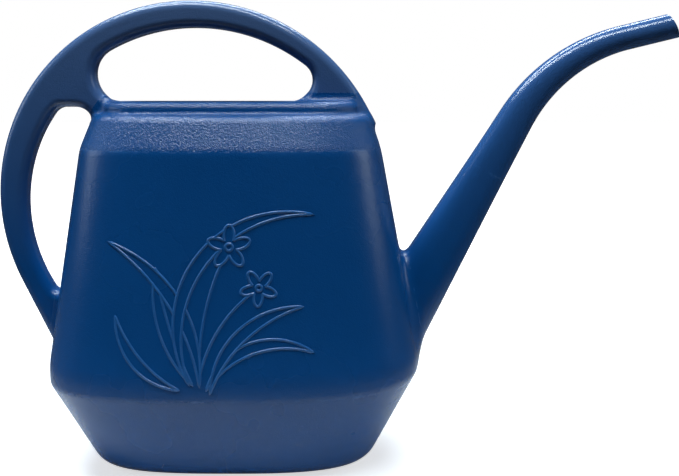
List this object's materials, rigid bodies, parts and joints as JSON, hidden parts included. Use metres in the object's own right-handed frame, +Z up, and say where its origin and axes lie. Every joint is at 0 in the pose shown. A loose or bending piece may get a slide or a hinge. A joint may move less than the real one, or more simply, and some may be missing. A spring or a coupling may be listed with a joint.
{
  "type": "watering can",
  "caption": "Hollow moulded watering can with a round carrying handle, rear grip, collared fill opening and long swan-neck spout.",
  "frame": {"origin": "middle of the base, on the surface that the can stands on", "axes": "+X towards the spout, +Z up, Y = 0 is the can's plane of symmetry"},
  "size_m": [0.4183, 0.1412, 0.286],
  "materials": {
    "moulded_plastic": "satin, fine moulded grain"
  },
  "bodies": {
    "root": {"base_pan": "moulded_plastic", "tank_wall": "moulded_plastic", "shoulder_deck": "moulded_plastic", "fill_collar": "moulded_plastic", "carry_handle": "moulded_plastic", "rear_grip": "moulded_plastic", "spout_cone": "moulded_plastic", "spout_neck": "moulded_plastic", "spout_mouth": "moulded_plastic", "right_leaves": "moulded_plastic", "right_blossoms": "moulded_plastic", "left_leaves": "moulded_plastic", "left_blossoms": "moulded_plastic"}
  },
  "joints": []
}
